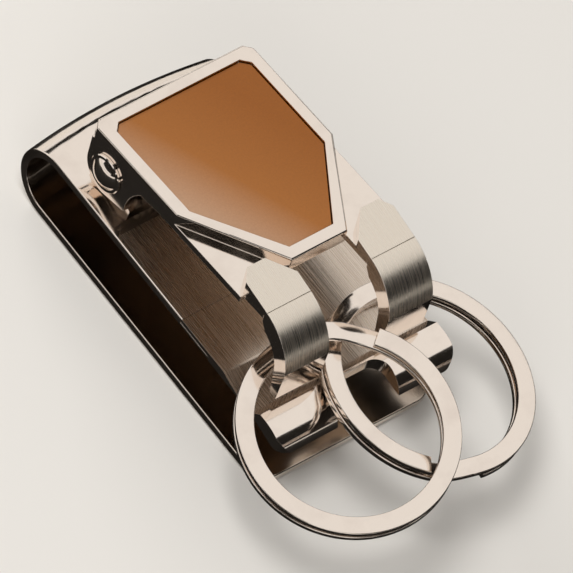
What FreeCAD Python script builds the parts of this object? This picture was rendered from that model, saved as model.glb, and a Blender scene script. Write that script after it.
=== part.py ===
import FreeCAD, Part
import math
import os
import re
import Sketcher

V = FreeCAD.Vector
doc = FreeCAD.newDocument("BeltKeyClip")

# Driving dimensions in millimetres and degrees. +Z is up, the clip lies on its back plate,
# +Y runs to the bend and the origin is the centre of the back plate's outer face.
SIZES = {
    # bent strip
    "clip_width": 30, "strip_thickness": 1.3, "slot_gap": 8.8, "plate_length": 49.5,
    "bend_crown": 1.1, "bend_leg": 3, "back_corner": 3, "seam_place": 3.4, "lap_length": 6,
    "seam_gap": 0.06, "bend_span_share": 0.62,
    # reach of a cut past the metal, depth of a cut right through, and how close two places must match
    "cut_overrun": 1, "through_cut": 40, "match_tolerance": 0.03,
    # ring rest: shallow channel, then two lips parted by a notch
    "channel_start": 12.5, "channel_end": 19.0, "channel_depth": 1.0, "channel_radius": 13,
    "lip_shoulder": 20.3, "lip_shoulder_height": 11.8, "lip_shoulder_radius": 8, "lip_crease": 23.2,
    "lip_end": 25.8, "lip_height": 11.6, "lip_foot": 8.9, "lip_front_radius": 3.9, "notch_width": 10.4,
    "notch_end": 20.6, "notch_round": 2.4, "lip_corner": 2.2,
    # lever, in its own frame about the pin's axis
    "pivot_place": 17.5, "pivot_height": 16.7, "lever_tilt": 6.2, "bezel_width": 26.5,
    "bezel_top": 4.7, "bezel_shoulder": 13.1, "bezel_bottom": 26.7, "bezel_foot_width": 9.5,
    "bezel_cut": 1.12, "bezel_level": 5.63, "bezel_rise": 2.0, "bezel_border": 1.85, "bezel_round": 0.4,
    "inset_foot_share": 0.55, "inset_shoulder_share": 0.28,
    "base_thickness": 1.1, "base_end": 26.2, "base_side_end": 27.1, "recess_depth": 1.3, "tab_end": 30.8,
    "tab_inset": 0.25, "ear_wall": 1.5, "lug_radius": 4.05, "lug_point_reach": 4.4, "lug_point_drop": 3.3,
    "arch_reach": 6.6, "arch_level": 2.3, "arch_radius": 6.5, "arch_flat": 1.35, "skirt_drop": 1.6,
    "skirt_inset": 0.4,
    # inlay
    "inlay_thickness": 0.8, "film_thickness": 0.15, "inlay_play": 0.1,
    # hooks
    "hook_width": 7.4, "hook_centre": 8.8, "hook_top": 25.0, "hook_clip_width": 3.0, "hook_clip_drop": 3.5,
    "hook_level": 6.2, "hook_crease": 31.5, "hook_crease_level": 4.5, "hook_radius": 8.0,
    "hook_thickness": 2.1, "hook_side": 37.2, "hook_side_level": 2.3, "hook_tip": 36.75,
    "hook_tip_level": 7.6, "hook_tip_width": 1.25, "hook_tip_drop": 0.53, "hook_step": 0.05,
    "hook_heel": 31.9, "hook_heel_level": 1.2, "hook_corner_width": 1.4, "hook_corner_drop": 1.7,
    # pin, bracket and spring
    "pin_radius": 1.1, "pin_play": 0.05, "head_radius": 2.85, "head_rim": 0.4, "dome_radius": 2.3,
    "dome_rise": 0.9, "cap_socket": 0.8, "bracket_width": 23.2, "bracket_wall": 1.0,
    "bracket_ear_radius": 2.2, "bracket_front": 4.6, "bracket_back": 3.4,
    "wire_radius": 0.35, "coil_radius": 1.78, "coil_pitch": 1.2, "coil_turns": 6, "coil_exit_angle": 40,
    "lever_leg": 3.0, "body_leg": 8.4,
    # rivets
    "rivet_radius": 0.9, "rivet_head_radius": 1.6, "rivet_head": 0.5, "rivet_play": 0.02,
    "bracket_rivet_spread": 13, "bracket_rivet_place": 1.6, "lap_rivet_spread": 11, "hook_rivet_depth": 1.3,
    # split rings
    "ring_diameter": 30, "wire_width": 2.5, "wire_thickness": 0.85, "wire_gap": 0.44, "wire_chamfer": 0.14,
    "ramp_angle": 26, "end_gap_angle": 3,
    "left_ring_x": -7.43, "left_ring_y": -28.67, "left_ring_z": 13.9,
    "left_ring_roll": -8.1, "left_ring_pitch": 6.3, "left_ring_turn": 54,
    "right_ring_x": 8.37, "right_ring_y": -26.71, "right_ring_z": 11.7,
    "right_ring_roll": 6.7, "right_ring_pitch": 5.7, "right_ring_turn": 249,
}

sheet = doc.addObject("Spreadsheet::Sheet", "Sizes")
for row, (alias, number) in enumerate(SIZES.items(), start=1):
    sheet.set(f"A{row}", alias)
    sheet.set(f"B{row}", str(number))
    sheet.setAlias(f"B{row}", alias)
doc.recompute()


def formula(text):
    # A formula names the sheet's cells by their plain words.
    return re.sub(r"[a-z]+(?:_[a-z]+)+", lambda word: "Sizes." + word.group(0), text)


def size(text):
    return float(sheet.evalExpression(formula(text)))


def bind(item, prop, text):
    item.setExpression(prop, formula(text))


def new_body(name):
    body = doc.addObject("PartDesign::Body", name)
    body.Label = name
    return body


def new_sketch(body, name, plane, level="0"):
    # The level is the sketch's height above the body's own plane.
    sketch = body.newObject("Sketcher::SketchObject", name)
    role = plane + "_Plane"
    support = [item for item in body.Origin.OriginFeatures if item.Role == role][0]
    sketch.AttachmentSupport = [(support, "")]
    sketch.MapMode = "FlatFace"
    bind(sketch, "AttachmentOffset.Base.z", level)
    return sketch


def arc_middle(start, end, radius, side):
    # Middle of the short arc between two points; side +1 bulges to the left of the way.
    chord = end - start
    half = chord.Length / 2
    rise = radius - math.sqrt(max(radius * radius - half * half, 0))
    left = V(-chord.y, chord.x, 0).normalize()
    return (start + end) * 0.5 + left * rise * side


def outline(sketch, corners):
    # Each corner is (x formula, y formula) and, where the next edge is an arc, its radius and side.
    spots = [V(size(corner[0]), size(corner[1]), 0) for corner in corners]
    first = sketch.GeometryCount
    count = len(corners)
    ends = []
    for index, corner in enumerate(corners):
        start = spots[index]
        end = spots[(index + 1) % count]
        if len(corner) == 2:
            sketch.addGeometry(Part.LineSegment(start, end), False)
            ends.append((1, 2))
        else:
            middle = arc_middle(start, end, size(corner[2]), corner[3])
            sketch.addGeometry(Part.Arc(start, middle, end), False)
            ends.append((1, 2) if corner[3] < 0 else (2, 1))
    for index, corner in enumerate(corners):
        here = first + index
        after = first + (index + 1) % count
        sketch.addConstraint(Sketcher.Constraint(
            "Coincident", here, ends[index][1], after, ends[(index + 1) % count][0]))
        for kind, place, text in (("DistanceX", spots[index].x, corner[0]),
                                  ("DistanceY", spots[index].y, corner[1])):
            number = sketch.addConstraint(Sketcher.Constraint(kind, -1, 1, here, ends[index][0], place))
            bind(sketch, f"Constraints[{number}]", text)
        if len(corner) > 2:
            number = sketch.addConstraint(Sketcher.Constraint("Radius", here, size(corner[2])))
            bind(sketch, f"Constraints[{number}]", corner[2])


def circle(sketch, x, y, radius):
    index = sketch.addGeometry(Part.Circle(V(size(x), size(y), 0), V(0, 0, 1), size(radius)), False)
    for kind, place, text in (("DistanceX", size(x), x), ("DistanceY", size(y), y)):
        number = sketch.addConstraint(Sketcher.Constraint(kind, -1, 1, index, 3, place))
        bind(sketch, f"Constraints[{number}]", text)
    number = sketch.addConstraint(Sketcher.Constraint("Radius", index, size(radius)))
    bind(sketch, f"Constraints[{number}]", radius)


def feature(body, kind, name, sketch, length, symmetric=False, back=False):
    # Pads and pockets; back turns the feature to the sketch's other side.
    item = body.newObject("PartDesign::" + kind, name)
    item.Profile = sketch
    item.Reversed = back
    if symmetric:
        item.SideType = "Symmetric"
    bind(item, "Length", length)
    doc.recompute()
    return item


def pocket(body, name, sketch, length, symmetric=False, back=False):
    before = body.Shape.Volume
    item = feature(body, "Pocket", name, sketch, length, symmetric, back)
    if body.Shape.Volume >= before:
        raise ValueError(f"{name} cuts nothing")
    return item


def revolution(body, name, sketch, axis, angle=None):
    item = body.newObject("PartDesign::Revolution", name)
    item.Profile = sketch
    item.ReferenceAxis = (sketch, [axis])
    if angle:
        item.Midplane = True
        bind(item, "Angle", angle)
    doc.recompute()
    return item


def round_edges(body, name, radius, wanted):
    # Rounds the edges of the body that the test picks.
    base = body.Tip
    names = [f"Edge{number}" for number, edge in enumerate(base.Shape.Edges, start=1) if wanted(edge)]
    item = body.newObject("PartDesign::Fillet", name)
    item.Base = (base, names)
    bind(item, "Radius", radius)
    doc.recompute()
    return item


def near(a, b):
    return abs(a - b) < size("match_tolerance")


def along(edge, axis):
    box = edge.BoundBox
    spans = {"x": box.XLength, "y": box.YLength, "z": box.ZLength}
    return all(near(span, 0) for name, span in spans.items() if name != axis)


FRONT_TOP = "slot_gap + 2 * strip_thickness"
FRONT_FOOT = "slot_gap + strip_thickness"
HALF = "clip_width / 2"


def make_belt_clip():
    # Bent strip: the bend is turned about a far upright axis, so its end is gently crowned.
    body = new_body("belt_clip")
    bend = new_sketch(body, "bend_section", "YZ")
    start = "plate_length / 2 - bend_leg"
    middle = "plate_length / 2"
    outer = "(slot_gap + 2 * strip_thickness) / 2"
    inner = "slot_gap / 2"
    outline(bend, [
        (start, "0"), (middle, "0", outer, -1), (f"{middle} + {outer}", outer, outer, -1),
        (middle, FRONT_TOP), (start, FRONT_TOP), (start, FRONT_FOOT), (middle, FRONT_FOOT, inner, 1),
        (f"{middle} + {inner}", outer, inner, 1), (middle, "strip_thickness"), (start, "strip_thickness")])
    far_axis = turn_axis()
    low_end = V(size(far_axis), 0, 0)
    high_end = V(size(far_axis), size(outer), 0)
    axis = bend.addGeometry(Part.LineSegment(low_end, high_end), True)
    for point, height in ((1, "0"), (2, outer)):
        for kind, text in (("DistanceX", far_axis), ("DistanceY", height)):
            number = bend.addConstraint(Sketcher.Constraint(kind, -1, 1, axis, point, size(text)))
            bind(bend, f"Constraints[{number}]", text)
    reach = f"plate_length / 2 - ({far_axis})"
    revolution(body, "bend", bend, "Axis0", f"2 * asin(bend_span_share * clip_width / ({reach}))")
    for name, level, end in (("back_plate", "0", "-plate_length / 2"),
                             ("front_plate", FRONT_FOOT, "-seam_place")):
        plan = new_sketch(body, name + "_plan", "XY", level)
        outline(plan, [
            ("-" + HALF, end), (HALF, end), (HALF, f"{start} - bend_crown + bend_leg / 2"),
            ("-" + HALF, f"{start} - bend_crown + bend_leg / 2")])
        feature(body, "Pad", name, plan, "strip_thickness")
    lap = new_sketch(body, "lap_plan", "XY", FRONT_FOOT)
    outline(lap, [("-" + HALF, "-seam_place - lap_length"), (HALF, "-seam_place - lap_length"),
                  (HALF, "-seam_place"), ("-" + HALF, "-seam_place")])
    feature(body, "Pad", "lap_tongue", lap, "strip_thickness / 2")
    sides = new_sketch(body, "side_trim", "XY", "-cut_overrun")
    far = "plate_length"
    for sign in ("-", ""):
        outline(sides, [(f"{sign}{HALF}", "-" + far), (f"{sign}clip_width", "-" + far),
                        (f"{sign}clip_width", far), (f"{sign}{HALF}", far)])
    pocket(body, "side_cut", sides, FRONT_TOP + " + 2 * cut_overrun", back=True)
    round_edges(body, "back_corners", "back_corner",
                lambda edge: along(edge, "z") and near(edge.CenterOfMass.y, -size("plate_length / 2")))
    holes = new_sketch(body, "rivet_holes", "XY", FRONT_FOOT + " - cut_overrun")
    bore = "rivet_radius + rivet_play"
    for sign in ("-", ""):
        circle(holes, f"{sign}bracket_rivet_spread / 2", "pivot_place - bracket_rivet_place", bore)
        circle(holes, f"{sign}lap_rivet_spread / 2", "-seam_place - lap_length / 2", bore)
    pocket(body, "rivet_bores", holes, "strip_thickness + 2 * cut_overrun", back=True)
    return body


def turn_axis():
    # The far axis that gives the bend its crown over half the width.
    return "plate_length / 2 - clip_width * clip_width / (8 * bend_crown)"


def make_ring_rest():
    # Lower front plate: half lap, flat, shallow channel, lip with a creased front.
    body = new_body("ring_rest")
    section = new_sketch(body, "rest_section", "YZ")
    seam = "-seam_place - seam_gap"
    lap = "-seam_place - lap_length - seam_gap"
    half = FRONT_FOOT + " + strip_thickness / 2"
    outline(section, [
        (seam, FRONT_TOP), (seam, half), (lap, half), (lap, FRONT_FOOT),
        ("-channel_end", FRONT_FOOT), ("-lip_end + strip_thickness", "lip_foot"),
        ("-lip_end", "lip_foot", "lip_front_radius", 1),
        ("-lip_crease", "lip_height", "lip_shoulder_radius", 1), ("-lip_shoulder", "lip_shoulder_height"),
        ("-channel_end", FRONT_TOP + " - channel_depth", "channel_radius", -1),
        ("-channel_start", FRONT_TOP)])
    feature(body, "Pad", "rest", section, "clip_width", symmetric=True)
    plan = new_sketch(body, "lip_plan", "XY", "lip_foot - cut_overrun")
    for sign, side in (("-", -1), ("", 1)):
        outline(plan, [(f"{sign}{HALF}", "-lip_end + lip_corner", "lip_corner", side),
                       (f"{sign}({HALF} - lip_corner)", "-lip_end"),
                       (f"{sign}({HALF} - lip_corner)", "-lip_end - cut_overrun"),
                       (f"{sign}({HALF} + cut_overrun)", "-lip_end - cut_overrun"),
                       (f"{sign}({HALF} + cut_overrun)", "-lip_end + lip_corner")])
    outline(plan, [
        ("-notch_width / 2", "-lip_end - cut_overrun"), ("notch_width / 2", "-lip_end - cut_overrun"),
        ("notch_width / 2", "-notch_end - notch_round", "notch_round", -1),
        ("notch_width / 2 - notch_round", "-notch_end"),
        ("-notch_width / 2 + notch_round", "-notch_end", "notch_round", -1),
        ("-notch_width / 2", "-notch_end - notch_round")])
    pocket(body, "lip_cut", plan, FRONT_TOP + " + cut_overrun", back=True)
    holes = new_sketch(body, "rivet_holes", "XY", FRONT_FOOT)
    for sign in ("-", ""):
        circle(holes, f"{sign}lap_rivet_spread / 2", "-seam_place - lap_length / 2",
               "rivet_radius + rivet_play")
    pocket(body, "rivet_bores", holes, "strip_thickness + cut_overrun", back=True)
    return body


def rivet(name, spots, profile):
    # A group of equal rivets: one turned profile, set at each spot.
    solids = []
    edges = [V(size(r), 0, size(z)) for r, z in profile]
    face = Part.Face(Part.makePolygon(edges + edges[:1]))
    turned = face.revolve(V(0, 0, 0), V(0, 0, 1), 360)
    for x, y in spots:
        solid = turned.copy()
        solid.translate(V(size(x), size(y), 0))
        solids.append(solid)
    item = doc.addObject("Part::Feature", name)
    item.Label = name
    item.Shape = Part.makeCompound(solids)
    return item


def lever_place(item):
    # The lever's pieces are drawn about the pin's axis and then tilted.
    item.Placement = FreeCAD.Placement(
        V(0, size("pivot_place"), size("pivot_height")), FreeCAD.Rotation(V(-1, 0, 0), size("lever_tilt")))
    bind(item, "Placement.Base.y", "pivot_place")
    bind(item, "Placement.Base.z", "pivot_height")
    bind(item, "Placement.Rotation.Angle", "lever_tilt")


BASE_TOP = "bezel_level - bezel_rise"
BASE_FOOT = "bezel_level - bezel_rise - base_thickness"


def shield(sketch, inset):
    # Shield outline of the bezel, drawn in by the inset on every side.
    wide = f"bezel_width / 2 - {inset}"
    foot = f"bezel_foot_width / 2 - {inset} * inset_foot_share"
    top = f"bezel_top - {inset}"
    shoulder = f"-bezel_shoulder - {inset} * inset_shoulder_share"
    bottom = f"-bezel_bottom + {inset}"
    low = f"{top} - bezel_cut"
    outline(sketch, [
        (f"-({wide}) + bezel_cut", top), (f"-({wide})", low), (f"-({wide})", shoulder),
        (f"-({foot})", bottom), (foot, bottom), (wide, shoulder), (wide, low), (f"{wide} - bezel_cut", top)])


def make_lever_frame():
    body = new_body("lever_frame")
    ears = new_sketch(body, "ear_outline", "YZ")
    outline(ears, [
        ("lug_radius", BASE_TOP), ("-bezel_shoulder", BASE_TOP),
        ("-bezel_shoulder", BASE_FOOT + " + base_thickness / 2"),
        ("-arch_reach - arch_flat", "arch_level"), ("-arch_reach", "arch_level", "arch_radius", 1),
        ("-lug_point_reach", "-lug_point_drop"), ("0", "-lug_radius", "lug_radius", -1),
        ("lug_radius", "0")])
    feature(body, "Pad", "ears", ears, "bezel_width", symmetric=True)
    inside = new_sketch(body, "inside_plan", "XY", "-bezel_level")
    inner = "bezel_width / 2 - ear_wall"
    outline(inside, [(f"-({inner})", "-bezel_bottom"), (inner, "-bezel_bottom"),
                     (inner, "bezel_top + cut_overrun"), (f"-({inner})", "bezel_top + cut_overrun")])
    pocket(body, "inside", inside, "through_cut", back=True)
    base = new_sketch(body, "base_plan", "XY", BASE_FOOT)
    tab_out = "hook_centre + hook_width / 2 - tab_inset"
    tab_in = "hook_centre - hook_width / 2 + tab_inset"
    wide = "bezel_width / 2"
    low = "bezel_top - bezel_cut"
    outline(base, [
        (f"-{wide} + bezel_cut", "bezel_top"), (f"-{wide}", low), (f"-{wide}", "-base_side_end"),
        (f"-({tab_out})", "-base_side_end"), (f"-({tab_out})", "-tab_end"), (f"-({tab_in})", "-tab_end"),
        (f"-({tab_in})", "-base_end"), (tab_in, "-base_end"), (tab_in, "-tab_end"), (tab_out, "-tab_end"),
        (tab_out, "-base_side_end"), (wide, "-base_side_end"), (wide, low),
        (f"{wide} - bezel_cut", "bezel_top")])
    feature(body, "Pad", "base_plate", base, "base_thickness")
    skirt = new_sketch(body, "skirt_plan", "XY", BASE_FOOT + " - skirt_drop")
    outline(skirt, [(f"-({inner})", "bezel_top - ear_wall"), (inner, "bezel_top - ear_wall"),
                    (inner, "bezel_top - skirt_inset"), (f"-({inner})", "bezel_top - skirt_inset")])
    feature(body, "Pad", "skirt", skirt, "skirt_drop")
    rim = new_sketch(body, "bezel_plan", "XY", BASE_TOP)
    shield(rim, "0")
    feature(body, "Pad", "bezel", rim, "bezel_rise")
    round_edges(body, "bezel_edge", "bezel_round",
                lambda edge: near(edge.BoundBox.ZMin, size("bezel_level")))
    recess = new_sketch(body, "recess_plan", "XY", "bezel_level - recess_depth")
    shield(recess, "bezel_border")
    pocket(body, "recess", recess, "recess_depth + cut_overrun", back=True)
    bores = new_sketch(body, "pin_bore", "YZ")
    circle(bores, "0", "0", "pin_radius + pin_play")
    pocket(body, "pin_bores", bores, "bezel_width + cut_overrun", symmetric=True)
    rivets = new_sketch(body, "rivet_bore", "XY", BASE_FOOT + " - cut_overrun")
    for sign in ("-", ""):
        circle(rivets, f"{sign}hook_centre", "-(base_end + tab_end) / 2", "rivet_radius + rivet_play")
    pocket(body, "rivet_bores", rivets, "base_thickness + 2 * cut_overrun", back=True)
    lever_place(body)
    return body


def make_panel(name, level, thickness, play):
    body = new_body(name)
    plan = new_sketch(body, name + "_plan", "XY", level)
    shield(plan, f"(bezel_border + {play})")
    feature(body, "Pad", name + "_plate", plan, thickness)
    lever_place(body)
    return body


def make_hook(name, sign):
    # Strap: flat root on the base plate's tab, crease, curl, then an upright tip.
    # It is thickest at the heel, just past the tab.
    body = new_body(name)
    start = f"{sign}hook_centre - hook_width / 2"
    section = new_sketch(body, name + "_section", "YZ", start)
    inner = "hook_radius - hook_thickness"
    outline(section, [
        ("-hook_top", BASE_TOP), ("-hook_top", "hook_level"),
        ("-hook_crease", "hook_crease_level", "hook_radius", -1), ("-hook_side", "-hook_side_level"),
        ("-hook_side + hook_step", "-hook_side_level - hook_step"), ("-hook_tip", "-hook_tip_level"),
        ("-hook_tip + hook_tip_width", "-hook_tip_level"),
        ("-hook_side + hook_thickness", "-hook_side_level - hook_tip_drop", inner, 1),
        ("-hook_heel", "hook_heel_level"),
        ("-tab_end - tab_inset", BASE_FOOT), ("-tab_end - tab_inset", BASE_TOP)])
    feature(body, "Pad", name + "_strap", section, "hook_width")
    clip = new_sketch(body, name + "_clip", "XY", BASE_TOP + " - cut_overrun")
    inside = f"{sign}(hook_centre - hook_width / 2"
    outline(clip, [
        (inside + " - cut_overrun)", "-hook_top + cut_overrun"),
        (inside + " + hook_clip_width)", "-hook_top + cut_overrun"),
        (inside + " + hook_clip_width)", "-hook_top"), (inside + ")", "-hook_top - hook_clip_drop"),
        (inside + " - cut_overrun)", "-hook_top - hook_clip_drop")])
    pocket(body, name + "_corner", clip, "through_cut", back=True)
    outer_clip = new_sketch(body, name + "_outer_clip", "XY", BASE_TOP + " - cut_overrun")
    outside = f"{sign}(hook_centre + hook_width / 2"
    outline(outer_clip, [
        (outside + " + cut_overrun)", "-hook_top + cut_overrun"),
        (outside + " - hook_corner_width)", "-hook_top + cut_overrun"),
        (outside + " - hook_corner_width)", "-hook_top"), (outside + ")", "-hook_top - hook_corner_drop"),
        (outside + " + cut_overrun)", "-hook_top - hook_corner_drop")])
    pocket(body, name + "_outer_corner", outer_clip, "through_cut", back=True)
    bore = new_sketch(body, name + "_bore", "XY", BASE_TOP)
    circle(bore, f"{sign}hook_centre", "-(base_end + tab_end) / 2", "rivet_radius + rivet_play")
    pocket(body, name + "_rivet_bore", bore, "hook_rivet_depth + rivet_play", back=True)
    lever_place(body)
    return body


def make_bracket():
    # U bracket: base on the front plate, two round-topped ears inside the lever's walls.
    body = new_body("pivot_bracket")
    ears = new_sketch(body, "bracket_outline", "YZ")
    outline(ears, [
        ("pivot_place - bracket_front", FRONT_TOP), ("pivot_place + bracket_back", FRONT_TOP),
        ("pivot_place + bracket_back", FRONT_TOP + " + bracket_wall"),
        ("pivot_place + bracket_ear_radius", FRONT_TOP + " + 2 * bracket_wall"),
        ("pivot_place + bracket_ear_radius", "pivot_height", "bracket_ear_radius", -1),
        ("pivot_place", "pivot_height + bracket_ear_radius", "bracket_ear_radius", -1),
        ("pivot_place - bracket_ear_radius", "pivot_height"),
        ("pivot_place - bracket_ear_radius", FRONT_TOP + " + 2 * bracket_wall"),
        ("pivot_place - bracket_front", FRONT_TOP + " + bracket_wall")])
    feature(body, "Pad", "bracket", ears, "bracket_width", symmetric=True)
    gap = new_sketch(body, "bracket_gap", "XY", FRONT_TOP + " + bracket_wall")
    half = "bracket_width / 2 - bracket_wall"
    front = "pivot_place - bracket_front - cut_overrun"
    rear = "pivot_place + bracket_back + cut_overrun"
    outline(gap, [(f"-({half})", front), (half, front), (half, rear), (f"-({half})", rear)])
    pocket(body, "bracket_inside", gap, "through_cut", back=True)
    bores = new_sketch(body, "bracket_bore", "YZ")
    circle(bores, "pivot_place", "pivot_height", "pin_radius + rivet_play")
    pocket(body, "bracket_bores", bores, "bracket_width + cut_overrun", symmetric=True)
    holes = new_sketch(body, "bracket_rivet_holes", "XY", FRONT_TOP + " - cut_overrun")
    for sign in ("-", ""):
        circle(holes, f"{sign}bracket_rivet_spread / 2", "pivot_place - bracket_rivet_place",
               "rivet_radius + rivet_play")
    pocket(body, "bracket_rivet_bores", holes, "bracket_wall + 2 * cut_overrun", back=True)
    return body


def domed_end(name, points):
    # A piece turned about the pin's axis: each point is (along the axis, radius), arcs as in an outline.
    body = new_body(name)
    half = new_sketch(body, name + "_half", "XY")
    outline(half, points)
    revolution(body, name + "_turn", half, "H_Axis")
    body.Placement = FreeCAD.Placement(V(0, size("pivot_place"), size("pivot_height")), FreeCAD.Rotation())
    bind(body, "Placement.Base.y", "pivot_place")
    bind(body, "Placement.Base.z", "pivot_height")
    return body


DOME_BALL = "(dome_radius * dome_radius + dome_rise * dome_rise) / (2 * dome_rise)"


def make_pin():
    face = "bezel_width / 2 + pin_play"
    return domed_end("pivot_pin", [
        (f"-({face}) - head_rim - dome_rise", "0", DOME_BALL, 1), (f"-({face}) - head_rim", "dome_radius"),
        (f"-({face}) - head_rim", "head_radius"), (f"-({face})", "head_radius"),
        (f"-({face})", "pin_radius"), (f"{face} + cap_socket", "pin_radius"), (f"{face} + cap_socket", "0")])


def make_pin_cap():
    face = "bezel_width / 2 + pin_play"
    hole = "pin_radius + rivet_play"
    end = f"{face} + cap_socket + rivet_play"
    return domed_end("pin_cap", [
        (end, "0"), (end, hole), (face, hole), (face, "head_radius"), (f"{face} + head_rim", "head_radius"),
        (f"{face} + head_rim", "dome_radius", DOME_BALL, 1),
        (f"{face} + head_rim + dome_rise", "0")])


def unit(vector):
    return V(vector.x, vector.y, vector.z).normalize()


def biarc(start, start_way, end, end_way):
    # Two arcs that leave start and reach end along the given ways.
    chord = end - start
    ways = start_way + end_way
    a = 2 * (1 - start_way.dot(end_way))
    b = 2 * chord.dot(ways)
    c = -chord.dot(chord)
    reach = (-b + math.sqrt(b * b - 4 * a * c)) / (2 * a) if abs(a) > 1e-9 else -c / b
    joint = (start + start_way * reach + end - end_way * reach) * 0.5
    return [single_arc(start, start_way, joint), single_arc(end, end_way * -1, joint)]


def single_arc(start, way, end):
    # The arc from start along way to end, by its middle point.
    chord = end - start
    turn = math.acos(max(-1.0, min(1.0, unit(chord).dot(way))))
    side = way - unit(chord) * unit(chord).dot(way)
    rise = chord.Length / 2 * math.tan(turn / 2)
    middle = (start + end) * 0.5 + unit(side) * rise
    return Part.Arc(start, middle, end)


def make_spring():
    # Torsion spring on the pin: close-wound turns and two straight legs, one unbroken wire.
    radius = size("coil_radius")
    pitch = size("coil_pitch")
    turns = size("coil_turns") + size("coil_exit_angle") / 360
    quarters = 4 * int(size("coil_turns"))
    begin = math.pi / 2
    total = 2 * math.pi * turns
    first = -pitch * turns / 2

    def spot(angle):
        along_pin = first + pitch * (angle - begin) / (2 * math.pi)
        return V(along_pin, radius * math.cos(angle), radius * math.sin(angle))

    def way(angle):
        return unit(V(pitch / (2 * math.pi), -radius * math.sin(angle), radius * math.cos(angle)))

    angles = [begin + math.pi / 2 * count for count in range(quarters + 1)] + [begin + total]
    curves = [Part.LineSegment(spot(begin) - way(begin) * size("lever_leg"), spot(begin))]
    for low, high in zip(angles, angles[1:]):
        curves += biarc(spot(low), way(low), spot(high), way(high))
    last = begin + total
    curves.append(Part.LineSegment(spot(last), spot(last) + way(last) * size("body_leg")))
    path = Part.Wire(Part.__sortEdges__([curve.toShape() for curve in curves]))
    foot = spot(begin) - way(begin) * size("lever_leg")
    profile = Part.Wire(Part.Circle(foot, way(begin), size("wire_radius")).toShape())
    tube = path.makePipeShell([profile], True, False)
    print("spring volume share", round(tube.Volume / (math.pi * size("wire_radius") ** 2 * path.Length), 4))
    points_per_quarter = 40
    points = path.discretize(points_per_quarter * quarters)
    count = len(points)
    apart = points_per_quarter + points_per_quarter // 2
    gap = min(points[i].distanceToPoint(points[j]) for i in range(count) for j in range(i + apart, count))
    print("spring least gap to itself", round(gap - 2 * size("wire_radius"), 3))
    item = doc.addObject("Part::Feature", "torsion_spring")
    item.Label = "torsion_spring"
    item.Shape = tube
    item.Placement = FreeCAD.Placement(V(0, size("pivot_place"), size("pivot_height")), FreeCAD.Rotation())
    return item


def wire_section(angle, level):
    # Flat wire section with chamfered corners, standing on the ring's radius at the angle.
    low = size("ring_diameter / 2 - wire_width")
    high = size("ring_diameter / 2")
    half = size("wire_thickness / 2")
    cut = size("wire_chamfer")
    corners = [(low + cut, -half), (high - cut, -half), (high, -half + cut), (high, half - cut),
               (high - cut, half), (low + cut, half), (low, half - cut), (low, -half + cut)]
    return [V(r * math.cos(angle), r * math.sin(angle), level + z) for r, z in corners]


def wire_loop(angle, level):
    points = wire_section(angle, level)
    return Part.makePolygon(points + points[:1])


def ring_gap(ramp, coil, step):
    # Least distance between the wire's section points a quarter turn or more apart along it.
    degrees_apart = 2
    angles = [math.radians(degree) for degree in range(0, int(coil) + 1, degrees_apart)]
    spots = [(-ramp / 2 - angle, -step / 2) for angle in reversed(angles)]
    spots += [(ramp * share / 4, step / 2 * math.sin(math.pi * share / 4)) for share in (-1, 0, 1)]
    spots += [(ramp / 2 + angle, step / 2) for angle in angles]
    rows = [wire_section(angle, level) for angle, level in spots]
    quarter = 90 // degrees_apart
    return min(a.distanceToPoint(b) for index, row in enumerate(rows) for other in rows[index + quarter:]
               for a in row for b in other)


def make_ring(name):
    # Split ring: a lower coil, a short ramp and an upper coil in one unbroken flat wire.
    step = size("wire_thickness + wire_gap")
    ramp = math.radians(size("ramp_angle"))
    coil = 360 - size("ramp_angle") - size("end_gap_angle")
    axis = V(0, 0, 1)
    upper = Part.Face(wire_loop(ramp / 2, step / 2)).revolve(V(0, 0, 0), axis, coil)
    lower = Part.Face(wire_loop(-ramp / 2, -step / 2)).revolve(V(0, 0, 0), axis, -coil)
    count = 8
    stations = [index / count - 1 / 2 for index in range(count + 1)]
    sections = [wire_loop(ramp * share, step / 2 * math.sin(math.pi * share)) for share in stations]
    slope = Part.makeLoft(sections, True, True)
    shape = lower.fuse(slope).fuse(upper).removeSplitter()
    item = doc.addObject("Part::Feature", name)
    item.Label = name
    item.Shape = shape.Solids[0] if len(shape.Solids) == 1 else shape
    print(name, "least gap to itself", round(ring_gap(ramp, coil, step), 3), "solids", len(shape.Solids))
    lean = FreeCAD.Rotation(V(0, 1, 0), size(name + "_roll")).multiply(
        FreeCAD.Rotation(V(1, 0, 0), size(name + "_pitch"))).multiply(
        FreeCAD.Rotation(axis, size(name + "_turn")))
    item.Placement = FreeCAD.Placement(V(*(size(f"{name}_{way}") for way in "xyz")), lean)
    return item


pieces = [make_belt_clip(), make_ring_rest(), make_bracket(), make_pin(), make_pin_cap(), make_spring(),
          make_lever_frame(),
          make_panel("inlay_adhesive", "bezel_level - recess_depth", "film_thickness", "2 * inlay_play"),
          make_panel("inlay_panel", "bezel_level - recess_depth + film_thickness", "inlay_thickness",
                     "inlay_play"),
          make_hook("left_hook", "-"), make_hook("right_hook", ""),
          make_ring("left_ring"), make_ring("right_ring")]

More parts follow.
